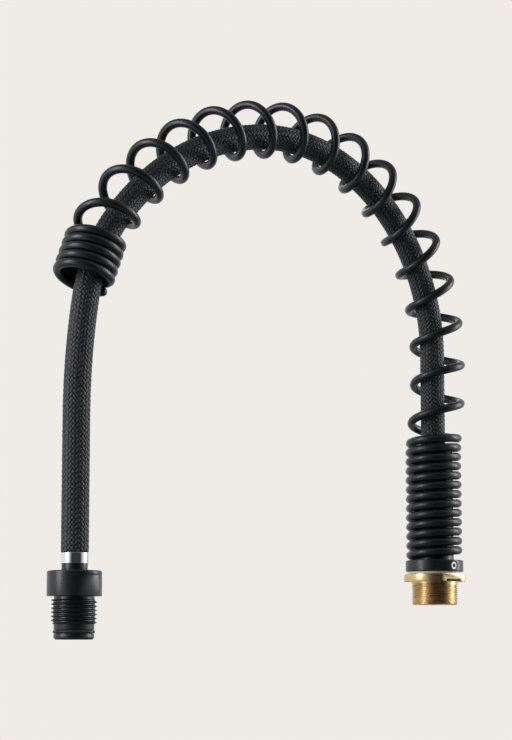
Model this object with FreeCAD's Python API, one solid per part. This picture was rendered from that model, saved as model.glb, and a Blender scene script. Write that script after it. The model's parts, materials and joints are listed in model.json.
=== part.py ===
"""Braided supply line of a spring-neck kitchen faucet, with its guard spring and its two end fittings.

Millimetres. The origin is on the axis of the column fitting, at the face that seats on the faucet column.
+Z points up the column. The line rises, arches over towards -X and hangs straight down to the spray end.
The hose and the spring bend, so both are cut into short rigid lengths that meet at hinges.
A station is a distance along the hose's centreline, measured from the seating face.
"""

import math
import os

import FreeCAD, Part

Vector = FreeCAD.Vector
UP = Vector(0, 0, 1)
SIDE = Vector(0, 1, 0)

# Centreline of the hose: a straight rise, four arcs (radius, degrees) and a straight drop.
RISE = 119.0
ARCS = ((101.0, 100.0), (137.0, 43.0), (90.0, 28.0), (350.0, 9.0))
DROP_BOTTOM_Z = 4.3

# Hose: an inner tube inside a braided sleeve.
BRAID_R = 6.3
BRAID_BORE_R = 5.5
LINER_R = 5.45
LINER_BORE_R = 3.2
HOSE_START = 34.4

# Guard spring, a right-handed coil: closed turns, open turns over the arch, closed turns on a straight axis.
# Turns are counted from the wire's lower end.
WIRE_R = 2.15
COIL_R = 12.5
SPRING_START = 13.2
BASE_PITCH, BASE_TURNS = 4.881, 12.75
OPEN_PITCH, OPEN_TURNS = 20.55, 16.43
TOP_PITCH, TOP_TURNS = 4.37, 5.07
FIRST_CREST = BASE_TURNS + 1
POINTS_PER_TURN = 12
SPRING_OFFSET = 3.7
OFFSET_GROWS = (65.0, 103.0)
TOP_HEADING = math.radians(159.5)
TOP_EASE = 15.0

# Hinges of the flexible line. In the arch they sit where the spring wire crosses the hinge axis.
ARCH_HINGE_TURNS = (0.75, 2.0, 3.25, 5.75, 8.25, 9.5, 10.75, 13.25)
DROP_HINGES = (450.0, 470.0, 495.0, 520.0)
BALL_R = 6.25
SOCKET_R = 6.35
HINGE_GROOVE = 1.5
WIRE_GAP_TURNS = 0.0125

# Column adapter: screws into the faucet column and carries the swivelling spring seat.
COLUMN_THREAD_R = 12.0
COLUMN_THREAD_END = -12.0
ADAPTER_FLANGE_R = 16.0
ADAPTER_FLANGE_TOP = 4.0
ADAPTER_FLATS = 28.0
SPIGOT_R = 7.0
SPIGOT_TOP = 20.0
WATER_R = 4.0
SCREW_Z = 8.0
SCREW_GROOVE_R, SCREW_GROOVE_WIDTH = 6.0, 2.2
SWIVEL_RING_Z = (12.5, 16.5)
FACE_RING_R = 14.0

# Edges: lead-in chamfers on threads and O-ring seats, small rounds elsewhere.
LEAD_IN = 0.8
SPIGOT_LEAD_IN = 0.5
EDGE_ROUND = 0.5

# O-rings, drawn at their squeezed height.
RING_SECTION_R = 0.6
RING_GROOVE_WIDTH = 1.7
RING_GROOVE_DEPTH = 1.17

# Spring seat: turns on the adapter, holds the spring's lower end and the hose insert.
RUNNING = 0.05
WASHER_THICK = 1.0
SEAT_BOTTOM = ADAPTER_FLANGE_TOP + WASHER_THICK + 2 * RUNNING
SEAT_FLANGE_R, SEAT_FLANGE_TOP = 15.0, 11.0
SEAT_SPIGOT_R, SEAT_TOP = 10.15, 29.0
SEAT_TUBE_BORE_R, SEAT_TUBE_TOP = 8.8, 68.0
SEAT_LEAD_IN = 0.7
SEAT_BORE_R = SPIGOT_R + RUNNING
SEAT_LEDGE = (20.4, 21.4)
SCREW_R, SCREW_TIP_R = 1.98, 0.95
SCREW_HOLE_R = 2.0
SCREW_INNER, SCREW_OUTER, SCREW_TIP_AT = 9.0, 14.6, 6.1
SCREW_KEY, SCREW_KEY_DEPTH = 2.0, 2.0

# Hose inserts: barbed brass stems that the hose is crimped on.
INSERT_BORE_R = 2.2
BARB_ROOT_R, BARB_TIP_R = 2.75, 3.18
BARB_PITCH, BARB_COUNT = 3.6, 5
BARB_LEAD = 2.0
INSERT_THREAD_R = 6.98
INSERT_SEAT_R = 7.0
INSERT_BOTTOM = 21.6
INSERT_HEX = 14.0
INSERT_HEX_Z = (30.0, 34.0)
SEAL_R, SEAL_BORE_R = 8.7, 7.05
COLUMN_FERRULE_R, COLUMN_FERRULE_BORE_R = 7.1, 6.32
COLUMN_FERRULE_Z = (34.3, 52.0)
CRIMP_Z = (38.5, 43.0, 47.5)
CRIMP_WIDTH, CRIMP_DEPTH = 2.2, 0.4

# Spray end: ferrule, insert neck and journal, swivel connector.
RING_R, RING_BORE_R = 6.5, 6.07
RING_Z = (3.4, 8.6)
RING_LIP_TOP, RING_LIP_R = 4.0, 5.97
RING_LOWER_ROUND, RING_UPPER_ROUND = 0.4, 0.25
PRESSED_BRAID_R = 6.05
NECK_R = 5.95
NECK_Z = (0.6, 4.0)
JOURNAL_R = 4.5
JOURNAL_BOTTOM = -13.0
JOURNAL_RING_Z = (-3.4, -7.2)
CLIP_GROOVE_R = 3.8
CLIP_GROOVE_Z = (-11.35, -10.15)
CLIP_R, CLIP_BORE_R = 6.0, 3.9
CLIP_Z = (-11.25, -10.25)
CLIP_MOUTH = 5.2
CONNECTOR_TOP = 0.5
HEAD_R, HEAD_BOTTOM = 12.5, -11.0
HEAD_FLATS = 22.0
HEAD_ROUND = 0.9
SPRAY_THREAD_R = 10.48
SPRAY_THREAD_END = -23.5
SPRAY_THREAD_RELIEF = 1.5
PILOT_R, PILOT_END = 9.2, -30.5
PILOT_RING_Z = -27.0
CLIP_CHAMBER_R, CLIP_CHAMBER_Z = 6.2, (-14.0, -10.0)
VALVE_BORE_R = 7.0

# Non-return valve, a cartridge pushed into the connector.
CARTRIDGE_R = 6.98
CARTRIDGE_Z = (-25.0, -14.1)
VALVE_SEAT_Z = -16.1
VALVE_PORT_R = 3.0
CARTRIDGE_BORE_R = 5.2
CARTRIDGE_RING_Z = -20.0
CARTRIDGE_GROOVE_DEPTH = 1.0
CARTRIDGE_SECTION_R = 0.5
PILOT_SECTION_R = 0.75
POPPET_R = 4.2
POPPET_Z = (-17.9, -16.8)
STEM_R, STEM_BOTTOM = 1.2, -23.2
FACE_SEAL_R, FACE_SEAL_BORE_R = 4.1, 2.4
GUIDE_R, GUIDE_RIM_R = 5.18, 4.4
GUIDE_Z = (-24.9, -23.4)
HUB_R, HUB_TOP = 2.9, -22.0
SPOKES, SPOKE_WIDTH = 3, 1.1
VALVE_WIRE_R, VALVE_COIL_R, VALVE_TURNS = 0.22, 2.2, 3.0


def disc(radius, z0, z1):
    """Solid cylinder about the Z axis."""
    return Part.makeCylinder(radius, z1 - z0, Vector(0, 0, z0))


def ring(outer, inner, z0, z1):
    """Hollow cylinder about the Z axis."""
    return disc(outer, z0, z1).cut(disc(inner, z0, z1))


def joined(*shapes):
    """One solid from several that touch."""
    return shapes[0].fuse(list(shapes[1:])).removeSplitter()


def group(*shapes):
    """Several separate solids that share one node."""
    return Part.makeCompound(list(shapes))


def o_ring(bore, z, section=RING_SECTION_R):
    """O-ring whose inner radius is bore."""
    return Part.makeTorus(bore + section, section, Vector(0, 0, z))


def ring_groove(radius, z, depth=RING_GROOVE_DEPTH, width=RING_GROOVE_WIDTH):
    """Square groove that holds an O-ring on a shaft."""
    return ring(radius + 1, radius - depth, z - width / 2, z + width / 2)


def flats(across, radius, z0, z1):
    """The two slivers that a pair of spanner flats removes from a round collar."""
    slab = Part.makeBox(2 * radius + 2, across, z1 - z0, Vector(-radius - 1, -across / 2, z0))
    return disc(radius + 1, z0, z1).cut(slab)


def hexagon(across, z0, z1):
    """Hexagonal prism with its corners turned down slightly."""
    corner = across / 2 / math.cos(math.radians(30))
    turns = [math.radians(60 * i) for i in range(7)]
    outline = [Vector(corner * math.cos(a), corner * math.sin(a), z0) for a in turns]
    prism = Part.Face(Part.makePolygon(outline)).extrude(Vector(0, 0, z1 - z0))
    return prism.common(disc(0.97 * corner, z0, z1))


def outer_rim(solid, z):
    """The widest edges of a turned solid at height z."""
    rims = [e for e in solid.Edges if abs(e.BoundBox.ZMin - z) < 0.01 and abs(e.BoundBox.ZMax - z) < 0.01]
    widest = max(e.BoundBox.XLength for e in rims)
    return [e for e in rims if e.BoundBox.XLength > widest - 0.01]


def rounded(solid, z, radius):
    """Round the outer rim of a turned solid at height z."""
    return solid.makeFillet(radius, outer_rim(solid, z))


def chamfered(solid, z, size):
    """Chamfer the outer rim of a turned solid at height z."""
    return solid.makeChamfer(size, outer_rim(solid, z))


def tangent(heading):
    """Direction of the centreline; a heading of 0 is up and 180 degrees is down."""
    return Vector(-math.sin(heading), 0, math.cos(heading))


def outward(heading):
    """Direction in the arch's plane that points away from the centre of the bend."""
    return Vector(math.cos(heading), 0, math.sin(heading))


def station(s):
    """Point and heading of the hose's centreline at station s."""
    if s <= RISE:
        return Vector(0, 0, s), 0.0
    point, heading, left = Vector(0, 0, RISE), 0.0, s - RISE
    for radius, degrees in ARCS:
        sweep = math.radians(degrees)
        step = min(left / radius, sweep)
        centre = point - outward(heading) * radius
        heading += step
        point = centre + outward(heading) * radius
        left -= radius * step
    return point + tangent(heading) * left, heading


def arc_ends():
    """Stations where the centreline changes from one arc to the next."""
    ends = [RISE]
    for radius, degrees in ARCS:
        ends.append(ends[-1] + radius * math.radians(degrees))
    return ends


def path(s0, s1):
    """Wire along the hose's centreline between two stations."""
    stops = [s0] + [s for s in arc_ends() if s0 + 0.01 < s < s1 - 0.01] + [s1]
    edges = []
    for a, b in zip(stops, stops[1:]):
        first, middle, last = (station(s)[0] for s in (a, (a + b) / 2, b))
        straight = b <= RISE or a >= arc_ends()[-1]
        edges.append(Part.makeLine(first, last) if straight else Part.Arc(first, middle, last).toShape())
    return Part.Wire(edges)


def rod(s0, s1, radius):
    """Solid round bar along the hose's centreline."""
    point, heading = station(s0)
    circle = Part.makeCircle(radius, point, tangent(heading))
    return path(s0, s1).makePipe(Part.Face(Part.Wire([circle])))


def hose_length(s0, s1, outer, inner, hinged_start, hinged_end):
    """One rigid length of tube. A hinged end is a ball, and the next length starts with a socket."""
    first = s0 + HINGE_GROOVE if hinged_start else s0
    last = s1 + BALL_R + 1 if hinged_end else s1
    tube = rod(first, last, outer).cut(rod(first, last, inner))
    if hinged_start:
        tube = tube.cut(Part.makeSphere(SOCKET_R, station(s0)[0]))
    if hinged_end:
        centre, heading = station(s1)
        beyond = Part.makeCylinder(BALL_R + 3, BALL_R + 3, centre, tangent(heading))
        tube = tube.cut(beyond.cut(Part.makeSphere(BALL_R, centre)))
    return tube


def wire_station(turn):
    """Station of the spring wire after so many turns from its lower end."""
    base = min(turn, BASE_TURNS)
    opened = min(max(turn - BASE_TURNS, 0), OPEN_TURNS)
    top = max(turn - BASE_TURNS - OPEN_TURNS, 0)
    return SPRING_START + base * BASE_PITCH + opened * OPEN_PITCH + top * TOP_PITCH


def eased(value, start, end):
    """Smooth step from 0 at start to 1 at end."""
    part = min(max((value - start) / (end - start), 0), 1)
    return part * part * (3 - 2 * part)


def spring_axis(s):
    """Centre and heading of the coil. In the arch the hose rests on the coil's inner side."""
    top = wire_station(BASE_TURNS + OPEN_TURNS)
    corner, bend = station(top)
    if s > top:
        return corner + outward(bend) * SPRING_OFFSET + tangent(TOP_HEADING) * (s - top), TOP_HEADING
    point, heading = station(s)
    lean = (TOP_HEADING - bend) * eased(s, top - TOP_EASE, top)
    return point + outward(heading) * SPRING_OFFSET * eased(s, *OFFSET_GROWS), heading + lean


def wire_point(turn):
    """Point on the centreline of the spring wire."""
    centre, heading = spring_axis(wire_station(turn))
    angle = 2 * math.pi * (turn - FIRST_CREST)
    return centre + (outward(heading) * math.cos(angle) + SIDE * math.sin(angle)) * COIL_R


def swept_wire(points, radius):
    """Round wire through a row of points."""
    curve = Part.BSplineCurve()
    curve.interpolate(points)
    start = Part.makeCircle(radius, points[0], curve.tangent(curve.FirstParameter)[0])
    return Part.Wire([curve.toShape()]).makePipeShell([Part.Wire([start])], True, True)


def spring_length(first, last):
    """One rigid length of the guard spring, between two turns."""
    count = math.ceil((last - first) * POINTS_PER_TURN)
    points = [wire_point(first + (last - first) * i / count) for i in range(count + 1)]
    return swept_wire(points, WIRE_R)


def body_names():
    """The rigid lengths from the column to the spray end."""
    arch = [f"arch_{i + 1}" for i in range(len(ARCH_HINGE_TURNS))]
    drop = [f"drop_{i + 1}" for i in range(len(DROP_HINGES))]
    return ["base"] + arch + drop


def hose_nodes():
    """Inner tube and braid, cut at the hinges. The braid's lower end is pressed thinner under its ferrule."""
    arch = [wire_station(FIRST_CREST + turn) for turn in ARCH_HINGE_TURNS]
    drop_length = station(arc_ends()[-1])[0].z - DROP_BOTTOM_Z
    stops = [HOSE_START] + arch + list(DROP_HINGES) + [arc_ends()[-1] + drop_length]
    nodes = {}
    for i, name in enumerate(body_names()):
        ends = (i > 0, i < len(stops) - 2)
        nodes[f"inner_tube_{name}"] = hose_length(stops[i], stops[i + 1], LINER_R, LINER_BORE_R, *ends)
        nodes[f"braid_{name}"] = hose_length(stops[i], stops[i + 1], BRAID_R, BRAID_BORE_R, *ends)
    pressed = ring(BRAID_R + 1, PRESSED_BRAID_R, DROP_BOTTOM_Z - 1, RING_Z[1])
    pressed.translate(Vector(station(stops[-1])[0].x, 0, 0))
    nodes[f"braid_{body_names()[-1]}"] = nodes[f"braid_{body_names()[-1]}"].cut(pressed)
    return nodes


def spring_nodes():
    """Guard spring, cut at the hinges of the arch."""
    cuts = [FIRST_CREST + turn for turn in ARCH_HINGE_TURNS]
    starts = [0.0] + [turn + WIRE_GAP_TURNS / 2 for turn in cuts]
    ends = [turn - WIRE_GAP_TURNS / 2 for turn in cuts] + [BASE_TURNS + OPEN_TURNS + TOP_TURNS]
    return {f"guard_spring_{n}": spring_length(a, b) for n, a, b in zip(body_names(), starts, ends)}


def barbed_stem(z0):
    """Stem with saw-tooth barbs that point back down against the hose slipping off."""
    outline = [Vector(INSERT_BORE_R, 0, z0)]
    for i in range(BARB_COUNT):
        z = z0 + BARB_LEAD + i * BARB_PITCH
        foot = z if i > 0 else z0
        outline += [Vector(BARB_ROOT_R, 0, foot), Vector(BARB_TIP_R, 0, z)]
    top = z0 + BARB_LEAD + BARB_COUNT * BARB_PITCH
    outline += [Vector(BARB_ROOT_R, 0, top), Vector(INSERT_BORE_R, 0, top), outline[0]]
    return Part.Face(Part.makePolygon(outline)).revolve(Vector(), UP, 360)


def column_adapter():
    """Threaded brass adapter with a shoulder, a face O-ring groove and a swivel spigot."""
    thread = chamfered(disc(COLUMN_THREAD_R, COLUMN_THREAD_END, 0), COLUMN_THREAD_END, LEAD_IN)
    flange = rounded(disc(ADAPTER_FLANGE_R, 0, ADAPTER_FLANGE_TOP), ADAPTER_FLANGE_TOP, EDGE_ROUND)
    spigot = chamfered(disc(SPIGOT_R, 0, SPIGOT_TOP), SPIGOT_TOP, SPIGOT_LEAD_IN)
    body = joined(thread, flange, spigot)
    half_groove = RING_GROOVE_WIDTH / 2
    cuts = [
        disc(WATER_R, COLUMN_THREAD_END, SPIGOT_TOP),
        flats(ADAPTER_FLATS, ADAPTER_FLANGE_R, 0, ADAPTER_FLANGE_TOP),
        ring(FACE_RING_R + half_groove, FACE_RING_R - half_groove, 0, 2 * RING_SECTION_R + 0.05),
        ring_groove(SPIGOT_R, SCREW_Z, SPIGOT_R - SCREW_GROOVE_R, SCREW_GROOVE_WIDTH),
    ]
    cuts += [ring_groove(SPIGOT_R, z) for z in SWIVEL_RING_Z]
    return body.cut(cuts)


def spring_seat():
    """Swivelling seat: a flange under the spring, a threaded socket, and a spigot inside the closed turns."""
    flange = rounded(disc(SEAT_FLANGE_R, SEAT_BOTTOM, SEAT_FLANGE_TOP), SEAT_BOTTOM, EDGE_ROUND)
    flange = rounded(flange, SEAT_FLANGE_TOP, EDGE_ROUND)
    spigot = chamfered(disc(SEAT_SPIGOT_R, SEAT_BOTTOM, SEAT_TUBE_TOP), SEAT_TUBE_TOP, SEAT_LEAD_IN)
    body = joined(flange, spigot)
    hole_start = UP * SCREW_Z - SIDE * SEAT_FLANGE_R
    screw_holes = Part.makeCylinder(SCREW_HOLE_R, 2 * SEAT_FLANGE_R, hole_start, SIDE)
    return body.cut([
        disc(SEAT_BORE_R, SEAT_BOTTOM, SEAT_LEDGE[0]),
        disc(WATER_R, SEAT_LEDGE[0], SEAT_LEDGE[1]),
        disc(INSERT_SEAT_R, SEAT_LEDGE[1], SEAT_TOP),
        disc(SEAT_TUBE_BORE_R, SEAT_TOP, SEAT_TUBE_TOP),
        screw_holes,
    ])


def seat_screws():
    """Two dog-point grub screws whose tips ride in the adapter's groove."""
    screws = []
    for way in (1, -1):
        toward = SIDE * way
        thread_start = toward * SCREW_INNER + UP * SCREW_Z
        tip_start = toward * SCREW_TIP_AT + UP * SCREW_Z
        body = Part.makeCylinder(SCREW_R, SCREW_OUTER - SCREW_INNER, thread_start, toward)
        tip = Part.makeCylinder(SCREW_TIP_R, SCREW_INNER - SCREW_TIP_AT, tip_start, toward)
        key = hexagon(SCREW_KEY, 0, SCREW_KEY_DEPTH)
        key.rotate(Vector(), Vector(1, 0, 0), -90 * way)
        key.translate(toward * (SCREW_OUTER - SCREW_KEY_DEPTH) + UP * SCREW_Z)
        screws.append(joined(body, tip).cut(key))
    return group(*screws)


def column_insert():
    """Insert screwed into the spring seat, with a hexagon and a barbed stem."""
    body = joined(
        disc(INSERT_THREAD_R, INSERT_BOTTOM, INSERT_HEX_Z[0]),
        hexagon(INSERT_HEX, *INSERT_HEX_Z),
    )
    body = body.cut(disc(INSERT_BORE_R, INSERT_BOTTOM, INSERT_HEX_Z[1]))
    return joined(body, barbed_stem(INSERT_HEX_Z[1]))


def column_ferrule():
    """Crimp sleeve over the hose, pressed in at three bands."""
    sleeve = ring(COLUMN_FERRULE_R, COLUMN_FERRULE_BORE_R, *COLUMN_FERRULE_Z)
    return sleeve.cut([ring_groove(COLUMN_FERRULE_R, z, CRIMP_DEPTH, CRIMP_WIDTH) for z in CRIMP_Z])


def column_end():
    """Pieces on the column's axis."""
    depth = RING_GROOVE_DEPTH
    return {
        "column_adapter": column_adapter(),
        "column_face_oring": o_ring(FACE_RING_R - RING_SECTION_R, RING_SECTION_R + 0.02),
        "swivel_orings": group(*[o_ring(SPIGOT_R - depth, z) for z in SWIVEL_RING_Z]),
        "glide_washer": ring(
            SEAT_FLANGE_R - 1,
            SEAT_BORE_R,
            ADAPTER_FLANGE_TOP + RUNNING,
            ADAPTER_FLANGE_TOP + RUNNING + WASHER_THICK,
        ),
        "spring_seat": spring_seat(),
        "seat_screws": seat_screws(),
        "insert_seal": ring(SEAL_R, SEAL_BORE_R, SEAT_TOP, INSERT_HEX_Z[0]),
        "column_insert": column_insert(),
        "column_ferrule": column_ferrule(),
    }


def chrome_ferrule():
    """Bright ferrule over the lower end of the braid, rounded at both rims."""
    sleeve = rounded(disc(RING_R, *RING_Z), RING_Z[0], RING_LOWER_ROUND)
    sleeve = rounded(sleeve, RING_Z[1], RING_UPPER_ROUND)
    return sleeve.cut([disc(RING_BORE_R, RING_LIP_TOP, RING_Z[1]), disc(RING_LIP_R, RING_Z[0], RING_LIP_TOP)])


def spray_insert():
    """Barbed stem, visible neck and swivel journal in one piece."""
    body = joined(disc(NECK_R, *NECK_Z), disc(JOURNAL_R, JOURNAL_BOTTOM, NECK_Z[1]))
    cuts = [
        disc(INSERT_BORE_R, JOURNAL_BOTTOM, NECK_Z[1]),
        ring(JOURNAL_R + 1, CLIP_GROOVE_R, *CLIP_GROOVE_Z),
    ]
    cuts += [ring_groove(JOURNAL_R, z) for z in JOURNAL_RING_Z]
    return joined(body.cut(cuts), barbed_stem(NECK_Z[1]))


def swivel_clip():
    """C-shaped clip that stops the connector sliding off the journal."""
    mouth = Part.makeBox(CLIP_R + 1, CLIP_MOUTH, 2, Vector(0, -CLIP_MOUTH / 2, CLIP_Z[0] - 0.5))
    return ring(CLIP_R, CLIP_BORE_R, *CLIP_Z).cut(mouth)


def spray_connector():
    """Swivel connector with spanner flats, a male thread and an O-ring pilot."""
    head = rounded(disc(HEAD_R, HEAD_BOTTOM, CONNECTOR_TOP), CONNECTOR_TOP, HEAD_ROUND)
    thread = chamfered(disc(SPRAY_THREAD_R, SPRAY_THREAD_END, HEAD_BOTTOM), SPRAY_THREAD_END, LEAD_IN)
    pilot = chamfered(disc(PILOT_R, PILOT_END, HEAD_BOTTOM), PILOT_END, LEAD_IN)
    body = joined(head, thread, pilot)
    relief = ring(SPRAY_THREAD_R + 1, PILOT_R, HEAD_BOTTOM - SPRAY_THREAD_RELIEF, HEAD_BOTTOM)
    return body.cut([
        flats(HEAD_FLATS, HEAD_R, HEAD_BOTTOM, CONNECTOR_TOP - 2),
        relief,
        ring_groove(PILOT_R, PILOT_RING_Z),
        disc(JOURNAL_R + RUNNING, CLIP_CHAMBER_Z[1], CONNECTOR_TOP),
        disc(CLIP_CHAMBER_R, *CLIP_CHAMBER_Z),
        disc(VALVE_BORE_R, PILOT_END, CLIP_CHAMBER_Z[0]),
    ])


def valve_cartridge():
    """Valve body with the seat at its top and an O-ring groove round it."""
    body = disc(CARTRIDGE_R, *CARTRIDGE_Z)
    return body.cut([
        disc(VALVE_PORT_R, VALVE_SEAT_Z, CARTRIDGE_Z[1]),
        disc(CARTRIDGE_BORE_R, CARTRIDGE_Z[0], VALVE_SEAT_Z),
        ring_groove(CARTRIDGE_R, CARTRIDGE_RING_Z, CARTRIDGE_GROOVE_DEPTH),
    ])


def valve_guide():
    """Spoked ring that guides the poppet's stem."""
    parts = [ring(GUIDE_R, GUIDE_RIM_R, *GUIDE_Z), disc(HUB_R, GUIDE_Z[0], HUB_TOP)]
    for i in range(SPOKES):
        spoke = Part.makeBox(
            GUIDE_RIM_R + 0.3,
            SPOKE_WIDTH,
            GUIDE_Z[1] - GUIDE_Z[0],
            Vector(0, -SPOKE_WIDTH / 2, GUIDE_Z[0]),
        )
        spoke.rotate(Vector(), UP, 360 * i / SPOKES)
        parts.append(spoke)
    return joined(*parts).cut(disc(STEM_R + RUNNING, GUIDE_Z[0], HUB_TOP))


def valve_spring():
    """Small coil between the guide's hub and the poppet."""
    low, high = HUB_TOP + VALVE_WIRE_R, POPPET_Z[0] - VALVE_WIRE_R
    count = int(VALVE_TURNS * POINTS_PER_TURN)
    points = []
    for i in range(count + 1):
        angle = 2 * math.pi * VALVE_TURNS * i / count
        z = low + (high - low) * i / count
        points.append(Vector(VALVE_COIL_R * math.cos(angle), VALVE_COIL_R * math.sin(angle), z))
    return swept_wire(points, VALVE_WIRE_R)


def spray_end():
    """Pieces on the axis of the drop."""
    depth = RING_GROOVE_DEPTH
    nodes = {
        "chrome_ferrule": chrome_ferrule(),
        "spray_insert": spray_insert(),
        "journal_orings": group(*[o_ring(JOURNAL_R - depth, z) for z in JOURNAL_RING_Z]),
        "swivel_clip": swivel_clip(),
        "spray_connector": spray_connector(),
        "pilot_oring": o_ring(PILOT_R - depth, PILOT_RING_Z, PILOT_SECTION_R),
        "valve_cartridge": valve_cartridge(),
        "cartridge_oring": o_ring(
            CARTRIDGE_R - CARTRIDGE_GROOVE_DEPTH,
            CARTRIDGE_RING_Z,
            CARTRIDGE_SECTION_R,
        ),
        "valve_poppet": joined(disc(POPPET_R, *POPPET_Z), disc(STEM_R, STEM_BOTTOM, POPPET_Z[0])),
        "poppet_seal": ring(FACE_SEAL_R, FACE_SEAL_BORE_R, POPPET_Z[1], VALVE_SEAT_Z - 0.02),
        "valve_spring": valve_spring(),
        "valve_guide": valve_guide(),
    }
    drop_x = station(arc_ends()[-1])[0].x
    return {name: shape.translated(Vector(drop_x, 0, 0)) for name, shape in nodes.items()}


def main():
    os.makedirs("parts", exist_ok=True)
    nodes = {**column_end(), **spring_nodes(), **hose_nodes(), **spray_end()}
    for name, shape in nodes.items():
        if not shape.isValid():
            raise ValueError(f"{name} is not a valid shape")
        shape.exportStep(f"parts/{name}.step")
    print(len(nodes), "nodes")


main()
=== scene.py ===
import json
import math

import bmesh
import bpy
import numpy as np
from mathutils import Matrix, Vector

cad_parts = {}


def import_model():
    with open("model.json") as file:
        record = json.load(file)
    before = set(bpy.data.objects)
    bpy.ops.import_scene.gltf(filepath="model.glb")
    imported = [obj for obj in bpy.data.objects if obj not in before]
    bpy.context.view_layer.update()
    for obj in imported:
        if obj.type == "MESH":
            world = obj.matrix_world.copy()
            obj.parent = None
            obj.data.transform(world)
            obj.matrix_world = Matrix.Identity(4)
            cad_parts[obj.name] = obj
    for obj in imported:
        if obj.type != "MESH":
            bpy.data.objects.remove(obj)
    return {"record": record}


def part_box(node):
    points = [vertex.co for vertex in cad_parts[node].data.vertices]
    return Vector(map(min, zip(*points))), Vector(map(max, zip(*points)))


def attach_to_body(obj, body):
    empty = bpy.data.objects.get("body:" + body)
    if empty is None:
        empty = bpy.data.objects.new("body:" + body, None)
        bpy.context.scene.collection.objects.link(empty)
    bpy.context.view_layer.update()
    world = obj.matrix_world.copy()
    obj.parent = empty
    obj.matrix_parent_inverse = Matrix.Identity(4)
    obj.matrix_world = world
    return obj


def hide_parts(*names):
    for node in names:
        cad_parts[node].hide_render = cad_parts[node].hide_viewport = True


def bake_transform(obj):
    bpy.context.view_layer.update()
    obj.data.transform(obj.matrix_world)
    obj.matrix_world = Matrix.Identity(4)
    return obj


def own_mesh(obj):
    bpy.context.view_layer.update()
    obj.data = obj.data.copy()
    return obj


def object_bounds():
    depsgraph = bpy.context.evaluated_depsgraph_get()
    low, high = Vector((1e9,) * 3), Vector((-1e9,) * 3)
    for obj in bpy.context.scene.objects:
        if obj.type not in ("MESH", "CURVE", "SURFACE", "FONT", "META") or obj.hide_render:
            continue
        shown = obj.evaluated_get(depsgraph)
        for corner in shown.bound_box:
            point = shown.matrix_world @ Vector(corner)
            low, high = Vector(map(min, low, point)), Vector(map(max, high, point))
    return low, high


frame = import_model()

MM = 0.001
CAD_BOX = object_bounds()
SIDE = np.array([0.0, 1.0, 0.0])

# Centreline of the hose: a straight rise, four arcs (radius, degrees) and a straight drop.
RISE = 119 * MM
ARCS = ((101 * MM, 100), (137 * MM, 43), (90 * MM, 28), (350 * MM, 9))
HOSE_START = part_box("inner_tube_base")[0].z
HOSE_END_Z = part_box("inner_tube_drop_4")[0].z
HOSE_R = 6.3 * MM
LINER_R = 5.4 * MM
LINER_BORE_R = 3.2 * MM

# Guard spring: closed turns, open turns over the arch, closed turns on a straight axis at the free end.
WIRE_R = 2.15 * MM
COIL_R = 12.5 * MM
SPRING_START = 13.2 * MM
BASE_PITCH, BASE_TURNS = 4.881 * MM, 12.75
OPEN_PITCH, OPEN_TURNS = 20.55 * MM, 16.43
TOP_PITCH, TOP_TURNS = 4.37 * MM, 5.07
TOP_START = SPRING_START + BASE_PITCH * BASE_TURNS + OPEN_PITCH * OPEN_TURNS
TOP_HEADING = math.radians(159.5)
TOP_EASE = 15 * MM
ALL_TURNS = BASE_TURNS + OPEN_TURNS + TOP_TURNS
FIRST_CREST = BASE_TURNS + 1
PITCH_BLEND = 0.35
SPRING_OFFSET = 3.7 * MM
OFFSET_GROWS = (65 * MM, 103 * MM)
WIRE_SIDES = 28
STEPS_PER_TURN = 60
DOME_ANGLES = np.radians([25, 50, 70, 84])
DOME_DEPTH = 0.8

# Where a length is cut: how far the wire's overlap lies under the surface, and how far the hose runs on.
WIRE_TUCK = 0.02 * MM
FOLD_TUCK = 2.2 * MM
# Share of the way to a length's ends that attach() takes as its reach about a sideways hinge, and the longest
# stretch of braid in one mesh.
BEND_SHARE = 0.87
LONGEST_PART = 55 * MM

# Braid: two sets of strands, each strand over two and under two of the other set.
STRANDS = 20
BRAID_PITCH = 46 * MM
STRAND_WIDTH = 1.55 * MM
STRAND_THICK = 0.62 * MM
STRAND_DIP = 0.55 * MM
STRAND_STEP = 0.34 * MM
CROWN_ABOVE = 0.1 * MM
WEAVE_SNAP = 1.8
UNEVEN, UNEVEN_WAVES = 0.025 * MM, (1400, 610)
PRESSED, PRESSED_LENGTH, PRESSED_EASE = 0.4 * MM, 5.0 * MM, 0.9 * MM

# Loose fibres, none below where the closed turns hide the braid.
HIDDEN_BELOW = 70 * MM
FIBRES_PER_MM = 5
FIBRE_KNOTS = 5
FIBRE_LENGTH, FIBRE_THICK, FIBRE_RISE = (0.5, 1.3), (0.022, 0.04), (0.12, 0.42)
FIBRE_ROOT = 0.08 * MM
FIRST_SEED = 100


# ---------------------------------------------------------------- centreline

def arc_starts():
    """Station, point and heading at the start of each arc, and of the drop."""
    station, point, heading = RISE, np.array([0.0, RISE]), 0.0
    rows = []
    for radius, degrees in ARCS:
        rows.append((station, point, heading))
        centre = point - radius * np.array([math.cos(heading), math.sin(heading)])
        heading += math.radians(degrees)
        point = centre + radius * np.array([math.cos(heading), math.sin(heading)])
        station += radius * math.radians(degrees)
    rows.append((station, point, heading))
    return rows


ARC_STARTS = arc_starts()
DROP_X = ARC_STARTS[-1][1][0]
HOSE_END = ARC_STARTS[-1][0] + ARC_STARTS[-1][1][1] - HOSE_END_Z


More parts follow.
